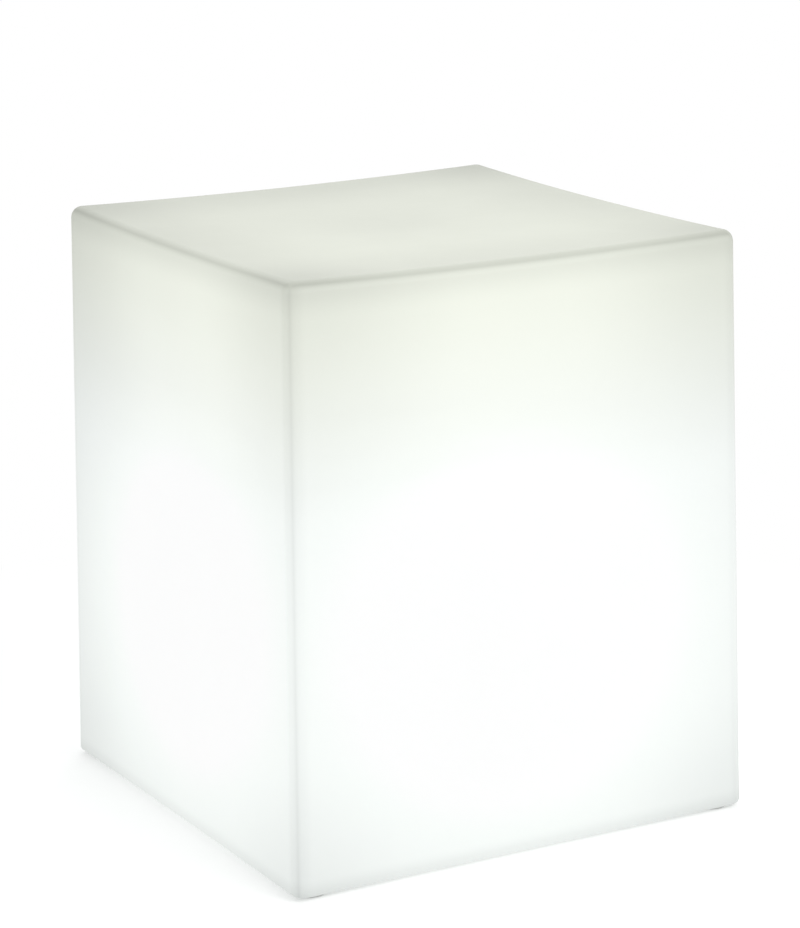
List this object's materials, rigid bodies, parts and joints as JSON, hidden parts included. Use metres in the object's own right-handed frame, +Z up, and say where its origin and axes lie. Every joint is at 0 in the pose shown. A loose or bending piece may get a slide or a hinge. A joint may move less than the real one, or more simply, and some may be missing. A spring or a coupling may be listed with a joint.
{
  "type": "led cube light",
  "caption": "Glowing moulded cube lamp with a dished top, resting on corner feet, its sealed light and battery unit set in a recess underneath.",
  "frame": {"origin": "on the floor under the middle of the cube", "axes": "+Z up through the middle of the cube, faces square to X and Y, button on the -Y side of the base plate and charging socket on its +Y side"},
  "size_m": [0.3998, 0.3998, 0.4645],
  "materials": {
    "moulded_shell": "satin, translucent",
    "insert_brass": "knurled",
    "vent_plug": "satin",
    "foot_rubber": "matt, fine ribs",
    "housing_plastic": "fine moulded grain",
    "gasket_rubber": "matt",
    "stainless_screws": "bright",
    "switch_plastic": "satin",
    "button_plastic": "satin",
    "spring_steel": "drawn",
    "nickel_plate": "plated",
    "panel_nuts": "nickel plated",
    "cover_rubber": "matt",
    "clear_acrylic": "clear",
    "indicator_chip": "clear",
    "tray_plastic": "satin",
    "cell_sleeve": "shrink sleeve",
    "strap_webbing": "woven",
    "green_board": "solder mask",
    "white_board": "white solder mask",
    "chip_black": "moulded",
    "inductor_black": "ferrite",
    "capacitor_can": "bright",
    "connector_plastic": "satin",
    "spreader_aluminium": "rolled",
    "thermal_pad": "soft",
    "light_chips": "phosphor",
    "opal_diffuser": "frosted",
    "red_insulation": "satin",
    "black_insulation": "satin",
    "white_insulation": "satin"
  },
  "bodies": {
    "lamp": {"shell": "moulded_shell", "shell_inserts": "insert_brass", "vent_plug": "vent_plug", "feet": "foot_rubber", "base_housing": "housing_plastic", "flange_gasket": "gasket_rubber", "flange_washers": "stainless_screws", "flange_screws": "stainless_screws", "switch_body": "switch_plastic", "switch_spring": "spring_steel", "switch_seal": "gasket_rubber", "switch_nut": "panel_nuts", "switch_terminals": "nickel_plate", "socket_body": "switch_plastic", "socket_pin": "nickel_plate", "socket_seal": "gasket_rubber", "socket_nut": "panel_nuts", "socket_terminals": "nickel_plate", "hinge_pin": "nickel_plate", "indicator_pipe": "clear_acrylic", "indicator_led": "indicator_chip", "battery_tray": "tray_plastic", "tray_screws": "stainless_screws", "battery_cells": "cell_sleeve", "battery_strips": "nickel_plate", "battery_strap": "strap_webbing", "protection_board": "green_board", "control_board": "green_board", "board_screws": "stainless_screws", "board_chips": "chip_black", "inductor": "inductor_black", "capacitors": "capacitor_can", "board_connectors": "connector_plastic", "heat_spreader": "spreader_aluminium", "thermal_pad": "thermal_pad", "led_board": "white_board", "led_chips": "light_chips", "led_board_screws": "stainless_screws", "led_connector": "connector_plastic", "diffuser_dome": "opal_diffuser", "dome_gasket": "gasket_rubber", "dome_screws": "stainless_screws", "switch_leads": "white_insulation", "socket_lead_red": "red_insulation", "socket_lead_black": "black_insulation", "battery_lead_red": "red_insulation", "battery_lead_black": "black_insulation", "light_leads": "white_insulation"},
    "button": {"switch_cap": "button_plastic"},
    "socket_cover": {"port_cover": "cover_rubber"}
  },
  "joints": [
    {"name": "power_button", "type": "slide", "parent": "lamp", "child": "button", "axis": [0, 0, 1], "range_m": [0, 0.0025], "stiffness_N_per_m": 400, "springref_m": -0.0015, "deforming": ["switch_spring"]},
    {"name": "cover_hinge", "type": "hinge", "parent": "lamp", "child": "socket_cover", "pos_m": [0, 0.05358, 0.0084], "axis": [1, 0, 0], "range_deg": [0, 160]}
  ]
}
